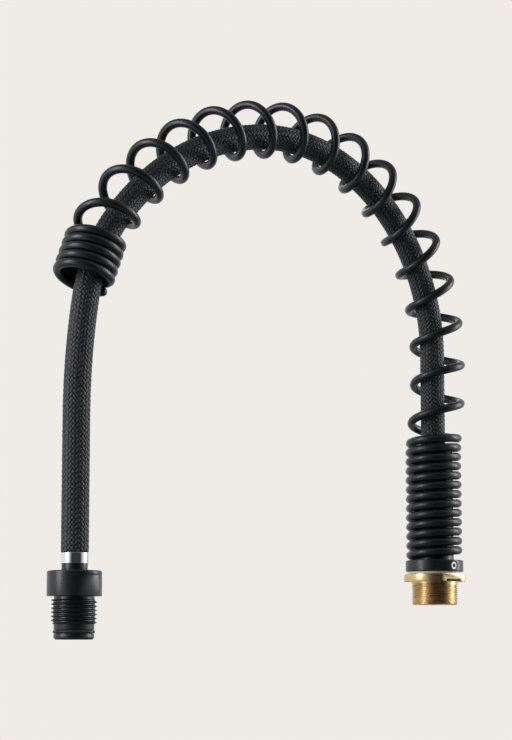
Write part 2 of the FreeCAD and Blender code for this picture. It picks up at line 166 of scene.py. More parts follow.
def centreline(station):
    """Points, headings, tangents and outward directions of the hose's centreline at an array of stations."""
    s = np.atleast_1d(np.asarray(station, float))
    x, z, heading = np.zeros_like(s), s.copy(), np.zeros_like(s)
    for (start, point, angle), (radius, _) in zip(ARC_STARTS, ARCS):
        on = s > start
        turned = angle + (s[on] - start) / radius
        x[on] = point[0] + radius * (np.cos(turned) - math.cos(angle))
        z[on] = point[1] + radius * (np.sin(turned) - math.sin(angle))
        heading[on] = turned
    start, point, angle = ARC_STARTS[-1]
    on = s > start
    x[on] = point[0] - math.sin(angle) * (s[on] - start)
    z[on] = point[1] + math.cos(angle) * (s[on] - start)
    heading[on] = angle
    zero = np.zeros_like(s)
    points = np.stack([x, zero, z], -1)
    tangents = np.stack([-np.sin(heading), zero, np.cos(heading)], -1)
    outward = np.stack([np.cos(heading), zero, np.sin(heading)], -1)
    return points, heading, tangents, outward


def smooth(value):
    """Smooth step from 0 to 1."""
    t = np.clip(value, 0, 1)
    return t * t * (3 - 2 * t)


def smoothed_ramp(turns):
    """Zero before turn 0 and rising by 1 per turn after it, with the corner rounded over PITCH_BLEND."""
    part = np.clip(turns / PITCH_BLEND + 0.5, 0, 1)
    return np.where(turns > PITCH_BLEND / 2, turns, PITCH_BLEND * part * part / 2)


def wire_station(turn):
    """Station of the spring wire after so many turns; the pitch changes over a short stretch of wire."""
    turn = np.asarray(turn, float)
    opened, closed = smoothed_ramp(turn - BASE_TURNS), smoothed_ramp(turn - BASE_TURNS - OPEN_TURNS)
    return (SPRING_START + BASE_PITCH * turn
            + (OPEN_PITCH - BASE_PITCH) * opened + (TOP_PITCH - OPEN_PITCH) * closed)


def spring_axis(stations):
    """Centres of the coil and its outward directions. In the arch the hose rests on the coil's inner side."""
    points, heading, _, outward = centreline(stations)
    corner, bend, _, corner_outward = centreline(TOP_START)
    start, end = OFFSET_GROWS
    points = points + outward * (SPRING_OFFSET * smooth((stations - start) / (end - start)))[:, None]
    heading = heading + (TOP_HEADING - bend) * smooth((stations - TOP_START + TOP_EASE) / TOP_EASE)
    on = stations > TOP_START
    straight = np.array([-math.sin(TOP_HEADING), 0, math.cos(TOP_HEADING)])
    points[on] = corner + corner_outward * SPRING_OFFSET + straight * (stations[on] - TOP_START)[:, None]
    heading[on] = TOP_HEADING
    return points, np.stack([np.cos(heading), np.zeros_like(heading), np.sin(heading)], -1)


def wire_points(turns):
    """Points of the spring wire's centreline, and the directions to them from the coil's centre."""
    centres, outward = spring_axis(wire_station(turns))
    angle = 2 * math.pi * (turns - FIRST_CREST)
    spoke = outward * np.cos(angle)[:, None] + SIDE * np.sin(angle)[:, None]
    return centres + spoke * COIL_R, spoke


# ---------------------------------------------------------------- mesh helpers

def mesh_piece(name, vertices, faces, smooth_shade=True):
    """New object from arrays of vertices and faces. End caps have more than four corners and stay flat."""
    mesh = bpy.data.meshes.new(name)
    mesh.from_pydata(np.asarray(vertices, float).reshape(-1, 3).tolist(), [], faces)
    mesh.polygons.foreach_set("use_smooth", [smooth_shade and len(face) <= 4 for face in faces])
    mesh.update()
    piece = bpy.data.objects.new(name, mesh)
    bpy.context.scene.collection.objects.link(piece)
    return piece


def point_attribute(piece, name, values):
    """Store one number per vertex for the materials to read."""
    layer = piece.data.attributes.new(name, "FLOAT", "POINT")
    layer.data.foreach_set("value", np.asarray(values, np.float32).ravel())


def grid_faces(rings, sides, first=0, caps=True):
    """Quads between rings of vertices, with an n-gon cap at each end."""
    faces = []
    for i in range(rings - 1):
        a, b = first + i * sides, first + (i + 1) * sides
        for j in range(sides):
            k = (j + 1) % sides
            faces.append((a + j, a + k, b + k, b + j))
    if caps:
        faces.append(tuple(first + j for j in reversed(range(sides))))
        last = first + (rings - 1) * sides
        faces.append(tuple(last + j for j in range(sides)))
    return faces


def lathe(name, profile, axis_x=0.0, sides=96):
    """Turned piece about a vertical axis. The profile is a closed loop of (radius, z) points."""
    angles = np.arange(sides) * 2 * math.pi / sides
    rings = []
    for radius, z in profile:
        x, y = axis_x + radius * np.cos(angles), radius * np.sin(angles)
        rings.append(np.stack([x, y, np.full(sides, z)], -1))
    count = len(profile)
    faces = []
    for i in range(count):
        a, b = i * sides, (i + 1) % count * sides
        for j in range(sides):
            k = (j + 1) % sides
            faces.append((a + j, a + k, b + k, b + j))
    piece = mesh_piece(name, np.concatenate(rings), faces)
    sharpen(piece)
    return piece


def sharpen(piece, degrees=35):
    """Smooth shading with sharp edges kept above an angle."""
    mesh = piece.data
    mesh.polygons.foreach_set("use_smooth", [True] * len(mesh.polygons))
    work = bmesh.new()
    work.from_mesh(mesh)
    bmesh.ops.recalc_face_normals(work, faces=work.faces)
    limit = math.radians(degrees)
    for edge in work.edges:
        edge.smooth = len(edge.link_faces) == 2 and edge.calc_face_angle(0) < limit
    work.to_mesh(mesh)
    work.free()
    mesh.update()


def rounded_corner(centre, radius, start, end, steps=6):
    """Points of an arc in a profile, angles in degrees."""
    angles = [math.radians(start + (end - start) * i / steps) for i in range(steps + 1)]
    return [(centre[0] + radius * math.cos(a), centre[1] + radius * math.sin(a)) for a in angles]


# ---------------------------------------------------------------- materials

MAP_RANGE_INPUTS = ("From Min", "From Max", "To Min", "To Max")


class Nodes:
    """Short way to build a material's node tree."""

    def __init__(self, name):
        self.material = bpy.data.materials.new(name)
        self.material.use_nodes = True
        self.tree = self.material.node_tree
        self.shader = self.tree.nodes["Principled BSDF"]

    def add(self, kind, **values):
        node = self.tree.nodes.new(kind)
        for key, value in values.items():
            if hasattr(node, key):
                setattr(node, key, value)
            else:
                node.inputs[key.replace("_", " ")].default_value = value
        return node

    def link(self, source, target):
        self.tree.links.new(source, target)

    def set(self, **values):
        for key, value in values.items():
            self.shader.inputs[key.replace("_", " ")].default_value = value

    def place(self):
        """The object's own coordinates in metres."""
        return self.add("ShaderNodeTexCoord").outputs["Object"]

    def noise(self, scale, detail=2.0, stretch=None):
        vector = self.place()
        if stretch:
            mapping = self.add("ShaderNodeMapping")
            mapping.inputs["Scale"].default_value = stretch
            self.link(vector, mapping.inputs["Vector"])
            vector = mapping.outputs["Vector"]
        texture = self.add("ShaderNodeTexNoise", Scale=scale, Detail=detail)
        self.link(vector, texture.inputs["Vector"])
        return texture.outputs["Fac"]

    def attribute(self, name):
        return self.add("ShaderNodeAttribute", attribute_name=name).outputs["Fac"]

    def math(self, operation, a, b=0.0):
        node = self.add("ShaderNodeMath", operation=operation)
        for socket, value in zip(node.inputs, (a, b)):
            if isinstance(value, (int, float)):
                socket.default_value = value
            else:
                self.link(value, socket)
        return node.outputs[0]

    def map(self, value, low, high, out_low, out_high):
        node = self.add("ShaderNodeMapRange")
        self.link(value, node.inputs["Value"])
        for socket, number in zip(MAP_RANGE_INPUTS, (low, high, out_low, out_high)):
            node.inputs[socket].default_value = number
        return node.outputs["Result"]

    def mix(self, factor, a, b):
        node = self.add("ShaderNodeMix", data_type="RGBA")
        self.link(factor, node.inputs["Factor"])
        for socket, value in ((node.inputs["A"], a), (node.inputs["B"], b)):
            if isinstance(value, tuple):
                socket.default_value = (*value, 1.0)
            else:
                self.link(value, socket)
        return node.outputs["Result"]

    def bump(self, height, strength, distance):
        node = self.add("ShaderNodeBump", Strength=strength, Distance=distance)
        self.link(height, node.inputs["Height"])
        self.link(node.outputs["Normal"], self.shader.inputs["Normal"])


def yarn_material():
    """Black polyester yarn: fine filaments along each strand, with a painted highlight: greyer flecks on the
    crowns, where the strands lie on top.
    """
    m = Nodes("braid_yarn")
    filament = m.math("SINE", m.math("MULTIPLY", m.attribute("across"), 11.0))
    waver = m.noise(900.0, 3.0)
    fleck = m.map(m.noise(700.0, 2.0), 0.40, 0.62, 0.35, 1.0)
    # Painted highlight: grey flecks on the strand crowns stand in for light catching the yarn.
    lit = m.math("MULTIPLY", fleck, m.map(m.attribute("crown"), 0.55, 1.0, 0.0, 1.0))
    base = m.mix(m.attribute("strand"), (0.004, 0.0044, 0.0055), (0.009, 0.0095, 0.011))
    yarn_colour_with_painted_highlight = m.mix(m.math("MULTIPLY", lit, 0.8), base, (0.036, 0.039, 0.044))
    m.link(yarn_colour_with_painted_highlight, m.shader.inputs["Base Color"])
    m.link(m.map(waver, 0.3, 0.7, 0.42, 0.56), m.shader.inputs["Roughness"])
    m.set(Specular_IOR_Level=0.5, Sheen_Weight=0.05, Sheen_Roughness=0.4)
    m.bump(m.math("ADD", m.math("MULTIPLY", filament, 0.6), m.math("MULTIPLY", waver, 0.8)), 0.6, 0.06 * MM)
    return m.material


def coat_material():
    """Satin black coating on the spring wire, rubbed smoother where the hose bears on it."""
    m = Nodes("spring_coat")
    rub = m.attribute("rub")
    tone = m.map(m.noise(60.0, 3.0), 0.3, 0.7, 0.0, 1.0)
    base = m.mix(tone, (0.0065, 0.0075, 0.0095), (0.010, 0.0115, 0.014))
    m.link(m.mix(m.math("MULTIPLY", rub, 0.5), base, (0.02, 0.021, 0.023)), m.shader.inputs["Base Color"])
    mottle = m.map(m.noise(700.0, 4.0), 0.3, 0.7, 0.29, 0.38)
    m.link(m.math("SUBTRACT", mottle, m.math("MULTIPLY", rub, 0.08)), m.shader.inputs["Roughness"])
    m.set(Specular_IOR_Level=0.5)
    m.bump(m.noise(1400.0, 2.0), 0.10, 0.05 * MM)
    return m.material


def liner_material():
    """Black rubber of the inner tube."""
    m = Nodes("tube_rubber")
    m.link(m.mix(m.noise(300.0), (0.008, 0.008, 0.008), (0.014, 0.014, 0.014)), m.shader.inputs["Base Color"])
    m.link(m.map(m.noise(900.0), 0.3, 0.7, 0.6, 0.8), m.shader.inputs["Roughness"])
    m.bump(m.noise(2000.0), 0.1, 0.03 * MM)
    return m.material


def metal_material(name, colour, roughness, spread, scratch=0.12):
    """Bare metal with turning marks round the vertical axis."""
    m = Nodes(name)
    marks = m.noise(40.0, 4.0, (1.0, 1.0, 90.0))
    dark = tuple(0.82 * c for c in colour)
    tone = m.map(m.noise(150.0, 3.0), 0.35, 0.65, 0.0, 1.0)
    m.link(m.mix(tone, dark, colour), m.shader.inputs["Base Color"])
    m.link(m.map(marks, 0.3, 0.7, roughness - spread, roughness + spread), m.shader.inputs["Roughness"])
    m.set(Metallic=1.0)
    m.bump(marks, scratch, 0.01 * MM)
    return m.material


def chrome_material():
    """Bright chrome with faint polishing marks."""
    m = Nodes("bright_chrome")
    marks = m.noise(60.0, 3.0, (1.0, 1.0, 40.0))
    m.link(m.mix(marks, (0.80, 0.80, 0.81), (0.90, 0.90, 0.90)), m.shader.inputs["Base Color"])
    m.link(m.map(marks, 0.3, 0.7, 0.05, 0.10), m.shader.inputs["Roughness"])
    m.set(Metallic=1.0)
    m.bump(marks, 0.03, 0.01 * MM)
    return m.material


def paint_material():
    """Satin black coating on the fittings."""
    m = Nodes("black_metal")
    tone = m.mix(m.noise(80.0, 3.0), (0.010, 0.010, 0.011), (0.018, 0.018, 0.020))
    m.link(tone, m.shader.inputs["Base Color"])
    m.link(m.map(m.noise(500.0, 3.0), 0.3, 0.7, 0.26, 0.36), m.shader.inputs["Roughness"])
    m.bump(m.noise(1600.0), 0.08, 0.03 * MM)
    return m.material


def plain_material(name, low, high, rough_low, rough_high, bump):
    """Moulded plastic, rubber or fibre: two close tones, uneven roughness and a fine grain."""
    m = Nodes(name)
    m.link(m.mix(m.noise(250.0, 3.0), low, high), m.shader.inputs["Base Color"])
    m.link(m.map(m.noise(700.0), 0.3, 0.7, rough_low, rough_high), m.shader.inputs["Roughness"])
    m.bump(m.noise(1800.0), bump, 0.03 * MM)
    return m.material


def make_materials():
    """One material for each slot in the record."""
    white, off_white = (0.80, 0.80, 0.77), (0.74, 0.74, 0.71)
    return {
        "braid_yarn": yarn_material(),
        "spring_coat": coat_material(),
        "tube_rubber": liner_material(),
        "bright_chrome": chrome_material(),
        "black_metal": paint_material(),
        "bare_brass": metal_material("bare_brass", (0.72, 0.52, 0.26), 0.30, 0.08),
        "steel": metal_material("steel", (0.60, 0.60, 0.61), 0.30, 0.08),
        "black_rubber": plain_material("black_rubber", (0.012,) * 3, (0.02,) * 3, 0.5, 0.7, 0.15),
        "white_plastic": plain_material("white_plastic", off_white, white, 0.35, 0.5, 0.08),
        "fibre": plain_material("fibre", (0.22, 0.07, 0.04), (0.32, 0.11, 0.06), 0.7, 0.85, 0.4),
    }


# ---------------------------------------------------------------- braid

def sink(stations, low, high, radius):
    """How far a length sinks where it runs on past a fold, so that its round end tucks into the next."""
    past = np.maximum(0, np.maximum(low - stations, stations - high))
    return radius - np.sqrt(radius ** 2 - past ** 2)


def braid_span(name, s0, s1, low, high):
    """All strands of the braid between two stations; beyond low and high they sink into the next length."""
    spacing = 2 * math.pi / STRANDS
    rate = 2 * math.pi / BRAID_PITCH
    lean = math.atan(rate * HOSE_R)
    steps = int(round((s1 - s0) / STRAND_STEP)) + 1
    s = np.linspace(s0, s1, steps)
    points, _, tangents, outward = centreline(s)
    over_r = HOSE_R + CROWN_ABOVE - STRAND_THICK / 2 - pressed_in(s) - sink(s, low, high, HOSE_R)
    under_r = over_r - STRAND_DIP
    section = strand_section()
    fine, coarse = UNEVEN_WAVES
    vertices, faces, across, tint, crown = [], [], [], [], []
    for way in (1, -1):
        for i in range(STRANDS):
            crossings = 2 * rate * s / spacing
            phase = 2 * i + way * crossings - 0.5
            lift = way * np.cos(phase * math.pi / 2)
            lift = np.tanh(WEAVE_SNAP * lift) / math.tanh(WEAVE_SNAP)
            uneven = UNEVEN * np.sin(s * fine + i * 2.1 + way) * np.sin(s * coarse + i * 5.3)
            radius = (over_r + under_r) / 2 + lift * (over_r - under_r) / 2 + uneven
            angle = way * rate * s + i * spacing
            radial = outward * np.cos(angle)[:, None] + SIDE * np.sin(angle)[:, None]
            around = -outward * np.sin(angle)[:, None] + SIDE * np.cos(angle)[:, None]
            sideways = around * math.cos(lean) - way * tangents * math.sin(lean)
            middle = points + radial * radius[:, None]
            ring = (middle[:, None, :] + sideways[:, None, :] * section[None, :, :1]
                    + radial[:, None, :] * section[None, :, 1:])
            faces += grid_faces(steps, len(section), len(vertices) * steps * len(section))
            vertices.append(ring.reshape(-1, 3))
            across.append(np.tile(section[:, 0] / STRAND_WIDTH * 2, steps))
            shade = 0.5 + 0.5 * math.sin(7.3 * i + 2.7 * way)
            tint.append(np.full(steps * len(section), shade))
            top = (section[:, 1] > 0).astype(float)
            # Where a strand lies on top; the yarn material paints its highlight flecks there.
            crown.append((smooth(lift * 0.5 + 0.5)[:, None] * top[None, :]).ravel())
    piece = mesh_piece(name, np.concatenate(vertices), faces)
    for key, values in (("across", across), ("strand", tint), ("crown", crown)):
        point_attribute(piece, key, np.concatenate(values))
    return piece


def pressed_in(stations):
    """How far the braid is squeezed in under its ferrule at the spray end."""
    return PRESSED * smooth((stations - (HOSE_END - PRESSED_LENGTH)) / PRESSED_EASE)


def strand_section():
    """Cross-section of a flat strand: three rounded bundles on top, nearly flat underneath."""
    half, thick = STRAND_WIDTH / 2, STRAND_THICK / 2
    top = [(x, 0.9 - 0.75 * x * x + 0.1 * math.cos(3 * math.pi * x)) for x in np.linspace(-0.92, 0.92, 9)]
    rim = [(1.0, 0.0)]
    bottom = [(x, -0.8 + 0.3 * x * x) for x in (0.7, 0.0, -0.7)]
    return np.array([(half * x, thick * z) for x, z in [(-1.0, 0.0)] + top + rim + bottom])


def liner_span(name, s0, s1, low, high, sides=32):
    """Inner tube between two stations, hollow and closed at both ends."""
    s = np.linspace(s0, s1, int((s1 - s0) / MM) + 1)
    steps = len(s)
    points, _, _, outward = centreline(s)
    angle = np.arange(sides) * 2 * math.pi / sides
    spoke = outward[:, None, :] * np.cos(angle)[None, :, None] + SIDE * np.sin(angle)[None, :, None]
    tucked = sink(s, low, high, LINER_R)[:, None, None]
    outer = points[:, None, :] + spoke * (LINER_R - tucked)
    inner = (points[:, None, :] + spoke * (LINER_BORE_R + tucked))[::-1]
    loop = np.concatenate([outer, inner])
    faces = grid_faces(2 * steps, sides, caps=False)
    last = (2 * steps - 1) * sides
    for j in range(sides):
        k = (j + 1) % sides
        faces.append((last + j, last + k, k, j))
    piece = mesh_piece(name, loop.reshape(-1, 3), faces)
    sharpen(piece)
    return piece


def fuzz_span(name, s0, s1, seed):
    """Loose fibre ends standing off the braid, triangular and tapered. None on a hidden stretch."""
    if s1 - s0 < 3 * MM:
        return None
    rng = np.random.default_rng(seed)
    count = int((s1 - s0) / MM * FIBRES_PER_MM)
    s = rng.uniform(s0 + MM, s1 - MM, count)
    points, _, tangents, outward = centreline(s)
    angle = rng.uniform(0, 2 * math.pi, count)
    radial = outward * np.cos(angle)[:, None] + SIDE * np.sin(angle)[:, None]
    around = np.cross(tangents, radial)
    lean = rng.uniform(0, 2 * math.pi, count)
    run = tangents * np.cos(lean)[:, None] + around * np.sin(lean)[:, None]
    length = rng.uniform(*FIBRE_LENGTH, count) * MM
    thick = rng.uniform(*FIBRE_THICK, count) * MM
    rise = rng.uniform(*FIBRE_RISE, count) * MM
    vertices, faces = [], []
    for i in range(count):
        base = points[i] + radial[i] * (HOSE_R - FIBRE_ROOT)
        side = np.cross(run[i], radial[i])
        for k in range(FIBRE_KNOTS):
            t = k / (FIBRE_KNOTS - 1)
            spine = base + run[i] * length[i] * t + radial[i] * rise[i] * math.sin(math.pi * 0.6 * t)
            width = thick[i] * (1 - 0.7 * t)
            for corner in range(3):
                turn = 2 * math.pi * corner / 3
                vertices.append(spine + side * width * math.cos(turn) + radial[i] * width * math.sin(turn))
        faces += grid_faces(FIBRE_KNOTS, 3, i * FIBRE_KNOTS * 3)
    return mesh_piece(name, vertices, faces)


# ---------------------------------------------------------------- guard spring

def spring_span(name, t0, t1, free_start, free_end):
    """Spring wire between two turns, domed at both ends. At a cut the dome lies inside the next length."""
    turns = np.linspace(t0, t1, int((t1 - t0) * STEPS_PER_TURN) + 1)
    overlap = turns[1] - turns[0]
    if not free_start:
        turns = np.append(turns[0] - overlap, turns)
    if not free_end:
        turns = np.append(turns, turns[-1] + overlap)
    nudge = 1e-3
    points, spoke = wire_points(turns)
    along = wire_points(turns + nudge)[0] - wire_points(turns - nudge)[0]
    along /= np.linalg.norm(along, axis=1)[:, None]
    spoke -= along * (spoke * along).sum(1)[:, None]
    spoke /= np.linalg.norm(spoke, axis=1)[:, None]
    across = np.cross(along, spoke)
    radius = np.where((turns < t0) | (turns > t1), WIRE_R - WIRE_TUCK, WIRE_R)
    rings = points, along, spoke, across, radius, turns
    for end in (0, -1):
        rings = add_dome(rings, end)
    points, _, spoke, across, radius, turns = rings
    side = np.arange(WIRE_SIDES) * 2 * math.pi / WIRE_SIDES
    ring = (points[:, None, :] + radius[:, None, None] * (
        spoke[:, None, :] * np.cos(side)[None, :, None] + across[:, None, :] * np.sin(side)[None, :, None]))
    piece = mesh_piece(name, ring.reshape(-1, 3), grid_faces(len(points), WIRE_SIDES))
    inner = smooth((-np.cos(side) - 0.55) / 0.45)[None, :]
    where = smooth((-np.cos(2 * math.pi * (turns - FIRST_CREST)) - 0.6) / 0.4)[:, None]
    point_attribute(piece, "rub", inner * where)
    return piece


def add_dome(rings, end):
    """Close one end of the wire in a dome: end 0 is its start and -1 its finish."""
    points, along, spoke, across, radius, turns = rings
    way = 1 if end == -1 else -1
    angles = DOME_ANGLES[::way]
    dome = [points[end] + way * along[end] * radius[end] * np.sin(angles)[:, None] * DOME_DEPTH]
    dome += [np.tile(direction[end], (len(angles), 1)) for direction in (along, spoke, across)]
    dome += [radius[end] * np.cos(angles), np.full(len(angles), turns[end])]
    return [np.concatenate((old, new)[::way]) for old, new in zip(rings, dome)]


# ---------------------------------------------------------------- joints along the line

def station_of(point):
    """Station of the centreline point nearest a place, found by sampling."""
    s = np.linspace(HOSE_START, HOSE_END, 6000)
    line = centreline(s)[0]
    return float(s[np.argmin(np.linalg.norm(line - np.array(point), axis=1))])


def turn_of(station):
    """Turn at which the spring wire reaches a station."""
    turns = np.linspace(0, ALL_TURNS, 8000)
    return float(np.interp(station, wire_station(turns), turns))


def line_hinges():
    """(station, body after it, whether it leans sideways) for each hinge of the hose, in order."""
    rows = []
    for joint in frame["record"]["behaviour"]["joints"]:
        if joint["type"] == "hinge" and joint["child"].startswith(("arch_", "drop_")):
            sideways = abs(joint["axis"][1]) < 0.5
            rows.append((station_of(joint["pos_m"]), joint["child"], sideways))
    return sorted(rows)


def line_lengths():
    """(start, end, bodies, hinge) for each length between the folds in the arch's plane.

    A length with a sideways hinge has two bodies. At a fold the line is cut.
    """
    lengths = []
    start, bodies, hinge = HOSE_START, ["base"], None
    for station, body, sideways in line_hinges():
        if sideways:
            bodies.append(body)
            hinge = station
        else:
            lengths.append((start, station, bodies, hinge))
            start, bodies, hinge = station, [body], None
    lengths.append((start, HOSE_END, bodies, hinge))
    return lengths


def attach(piece, length):
    """Let a piece ride its one body. A piece across a sideways hinge only has its transform baked into its
    mesh; it rides no body and doesn't lean.
    """
    start, end, bodies, hinge = length
    if hinge is None:
        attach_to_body(piece, bodies[0])
        return
    reach = BEND_SHARE * min(hinge - start, end - hinge)
    ends = centreline([hinge - reach, hinge + reach])[0]
    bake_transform(piece)


def finish_piece(piece, materials, slot):
    """Give a piece its material."""
    piece.data.materials.append(materials[slot])


def drawn_ends(s0, s1, low, high):
    """Ends of one part, run on into the next length where the line folds."""
    start = s0 - FOLD_TUCK if s0 == low and low > HOSE_START else s0
    end = s1 + FOLD_TUCK if s1 == high and high < HOSE_END else s1
    return start, end


def hose_pieces(materials):
    """Braid, inner tube and loose fibres for each length of the hose, a long length in equal parts."""
    number = 0
    for length in line_lengths():
        low, high, bodies, _ = length
        parts = math.ceil((high - low) / LONGEST_PART)
        stops = np.linspace(low, high, parts + 1)
        for part, (s0, s1) in enumerate(zip(stops, stops[1:])):
            start, end = drawn_ends(s0, s1, low, high)
            braid = braid_span(f"braid_weave_{number}", start, end, low, high)
            tube = liner_span(f"inner_tube_{number}_flex", start, end, low, high)
            fuzz = fuzz_span(f"braid_fibres_{number}", max(s0, HIDDEN_BELOW), s1, FIRST_SEED + number)
            for piece, slot in ((braid, "braid_yarn"), (tube, "tube_rubber"), (fuzz, "braid_yarn")):
                if piece:
                    finish_piece(piece, materials, slot)
                    attach(piece, length)
            if part == 0:
                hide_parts(*[f"braid_{body}" for body in bodies])
                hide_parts(*[f"inner_tube_{body}" for body in bodies])
            number += 1


def spring_pieces(materials):
    """Guard spring, cut where the line folds."""
    lengths = [length for length in line_lengths() if length[2][0].startswith(("base", "arch_"))]
    cuts = [turn_of(length[1]) for length in lengths[:-1]]
    ends = list(zip([0.0] + cuts, cuts + [ALL_TURNS]))
    for i, (length, (t0, t1)) in enumerate(zip(lengths, ends)):
        piece = spring_span(f"guard_spring_wire_{i}", t0, t1, i == 0, i == len(ends) - 1)
        finish_piece(piece, materials, "spring_coat")
        attach(piece, length)
        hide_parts(*[f"guard_spring_{body}" for body in length[2]])


# ---------------------------------------------------------------- fittings

# Each thread's new piece, node, body, slot, mount, pitch, depth, and lowest and highest z.
THREADS = (
    ("column_adapter_threaded", "column_adapter", "column", "bare_brass", "column_thread",
     1.0 * MM, 0.6 * MM, -12.0 * MM, -1.3 * MM),
    ("spray_connector_threaded", "spray_connector", "connector", "black_metal", "spray_thread",
     1.814 * MM, 1.1 * MM, -23.5 * MM, -11.8 * MM),
)
THREAD_STEPS = 64
RING_LIP_R, RING_BORE_R, RING_LIP_HEIGHT = 5.97 * MM, 6.05 * MM, 0.6 * MM
RING_LOWER_ROUND, RING_UPPER_ROUND = 0.45 * MM, 0.3 * MM


def chrome_ring(materials):
    """Bright ferrule with rounded rims, hollow over the braid."""
    low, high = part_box("chrome_ferrule")
    outer = (high.x - low.x) / 2
    lip_top = low.z + RING_LIP_HEIGHT
    lower, upper = RING_LOWER_ROUND, RING_UPPER_ROUND
    profile = [(RING_LIP_R, low.z), (RING_LIP_R, lip_top), (RING_BORE_R, lip_top), (RING_BORE_R, high.z)]
    profile += rounded_corner((outer - upper, high.z - upper), upper, 90, 0)
    profile += rounded_corner((outer - lower, low.z + lower), lower, 0, -90)
    piece = lathe("chrome_ferrule_ring", profile, DROP_X, 128)
    finish_piece(piece, materials, "bright_chrome")
    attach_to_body(piece, "drop_4")
    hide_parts("chrome_ferrule")


def softened_copy(name, node, body, materials, slot, width, cutter=None):
    """Copy of a CAD node with its sharp edges rounded, and a thread cut in it if asked."""
    source = bpy.data.objects[node]
    piece = bpy.data.objects.new(name, source.data.copy())
    bpy.context.scene.collection.objects.link(piece)
    piece.data.materials.clear()
    work = bmesh.new()
    work.from_mesh(piece.data)
    bmesh.ops.remove_doubles(work, verts=work.verts, dist=1e-6)
    bmesh.ops.dissolve_limit(work, angle_limit=math.radians(1), verts=work.verts, edges=work.edges)
    work.to_mesh(piece.data)
    work.free()
    bevel = piece.modifiers.new("round_edges", "BEVEL")
    bevel.width = width
    bevel.segments = 3
    bevel.limit_method = "ANGLE"
    bevel.angle_limit = math.radians(40)
    bevel.use_clamp_overlap = True
    if cutter:
        cut = piece.modifiers.new("thread", "BOOLEAN")
        cut.operation = "DIFFERENCE"
        cut.solver = "EXACT"
        cut.object = cutter
    bake_modifiers(piece)
    sharpen(piece)
    finish_piece(piece, materials, slot)
    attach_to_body(piece, body)
    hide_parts(node)


def bake_modifiers(piece):
    """Apply a piece's modifiers to its mesh."""
    bpy.context.view_layer.update()
    graph = bpy.context.evaluated_depsgraph_get()
    done = bpy.data.meshes.new_from_object(piece.evaluated_get(graph))
    piece.modifiers.clear()
    piece.data = done


def thread_cutter(axis_x, radius, z_low, z_high, pitch, depth):
    """Helical V-shaped groove, as a solid to cut from a cylinder."""
    turns = (z_high - z_low) / pitch
    count = int(turns * THREAD_STEPS) + 1
    t = np.linspace(0, turns, count)
    angle = 2 * math.pi * t
    z = z_low + pitch * t
    mouth_r, mouth, root_r, root = radius + 0.3 * depth, 0.55 * pitch, radius - depth, 0.1 * pitch
    section = [(mouth_r, -mouth), (mouth_r, mouth), (root_r, root), (root_r, -root)]
    corners = [np.stack([axis_x + r * np.cos(angle), r * np.sin(angle), z + h], -1) for r, h in section]
    ring = np.stack(corners, 1)
    piece = mesh_piece("thread_cutter", ring.reshape(-1, 3), grid_faces(count, len(section)))
    work = bmesh.new()
    work.from_mesh(piece.data)
    bmesh.ops.recalc_face_normals(work, faces=work.faces)
    work.to_mesh(piece.data)
    work.free()
    return piece


def drop_object(piece):
    """Remove a helper object."""
    mesh = piece.data
    bpy.data.objects.remove(piece)
    bpy.data.meshes.remove(mesh)


def fittings(materials):
    """The visible turned parts, with rounded edges and real threads, and the valve's spring."""
    chrome_ring(materials)
    mounts = {m["name"]: m for m in frame["record"]["mounts"]}
    for name, node, body, slot, mount, pitch, depth, low, high in THREADS:
        place, radius = mounts[mount]["pos_m"], mounts[mount]["dims"]["r_mm"] * MM
        cutter = thread_cutter(place[0], radius, low - pitch, high, pitch, depth)
        softened_copy(name, node, body, materials, slot, 0.25 * MM, cutter)
        drop_object(cutter)
    softened_copy("spring_seat_body", "spring_seat", "base", materials, "black_metal", 0.3 * MM)
    softened_copy("spray_insert_body", "spray_insert", "drop_4", materials, "black_metal", 0.15 * MM)
    valve_spring(materials)


def valve_spring(materials):
    """The valve's spring, copied to ride the connector; nothing here shortens it as the poppet comes down on
    it.
    """
    piece = bpy.data.objects.new("valve_spring_coil", bpy.data.objects["valve_spring"].data.copy())
    bpy.context.scene.collection.objects.link(piece)
    piece.data.materials.clear()
    finish_piece(piece, materials, "steel")
    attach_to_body(piece, "connector")
    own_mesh(piece)
    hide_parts("valve_spring")


def dress_cad_nodes(materials):
    """Procedural materials on the CAD nodes that stay."""
    slots = {row["node"]: row["material_slot"] for row in frame["record"]["subparts"]}
    for node, slot in slots.items():
        piece = bpy.data.objects[node]
        for i in range(len(piece.material_slots)):
            piece.material_slots[i].material = materials[slot]


# ---------------------------------------------------------------- scene

CAMERA_AT = Vector((-0.750, -0.7765, -0.0342))
CAMERA_LOOK = Vector((0.6245, 0.7695, 0.134)).normalized()
CAMERA_LENS, CAMERA_SENSOR = 100, 36
WALL_COLOUR = (0.865, 0.835, 0.805, 1.0)
ROOM_COLOUR = (0.93, 0.97, 1.0, 1.0)
ROOM_LEVEL, DARK_LEVEL, OVERHEAD_LEVEL = 0.9, 0.04, 0.35
DARK_SIDE, DARK_EDGE = 247, (0.45, 0.85)
OVERHEAD_EDGE = (0.15, 0.9)
FLOOR_HALF, FLOOR_BELOW, FLOOR_FADE, FLOOR_GLOW = 3.0, 0.25, (0.2, 1.6), 0.9


